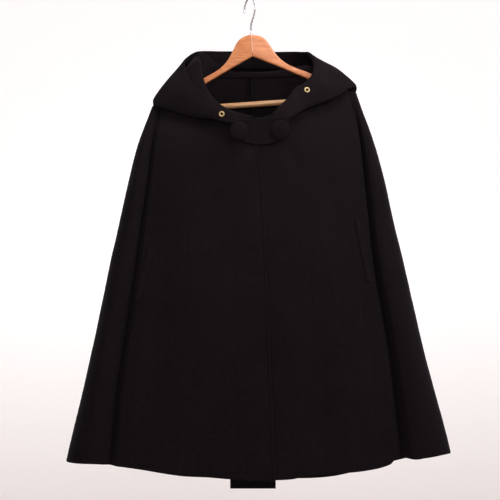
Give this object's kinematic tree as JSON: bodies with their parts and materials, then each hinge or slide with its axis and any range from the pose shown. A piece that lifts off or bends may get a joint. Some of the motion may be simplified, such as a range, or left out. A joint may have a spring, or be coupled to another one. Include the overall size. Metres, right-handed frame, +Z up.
{
  "type": "hooded wool cape on a wooden hanger",
  "caption": "Black wool hooded cape with a half-moon neck tab, covered buttons and arm slits, hung flat on a shaped wooden hanger with a wire hook.",
  "frame": {"origin": "inner top of the hanger's hook, where it hangs on a rod or peg", "axes": "+Z up, along the garment's length; the front faces -Y; +X to the right of the front view, which is the wearer's left"},
  "size_m": [0.7288, 0.1732, 0.9443],
  "materials": {
    "wool": "brushed wool melton, matt",
    "wood": "clear lacquer, satin",
    "brass": "polished",
    "steel": "bright wire"
  },
  "bodies": {
    "root": {"front_right": "wool", "side_right": "wool", "back_right": "wool", "front_left": "wool", "side_left": "wool", "back_left": "wool", "back_pleat": "wool", "hood_right": "wool", "hood_left": "wool", "hood_facing_right": "wool", "hood_facing_left": "wool", "slit_welt_right": "wool", "slit_welt_left": "wool", "neck_tab": "wool", "button_right": "wool", "button_left": "wool", "eyelet_right": "brass", "eyelet_left": "brass", "hanger_arm_right": "wood", "hanger_arm_left": "wood", "hanger_bar": "wood", "hanger_hook": "steel"}
  },
  "joints": []
}
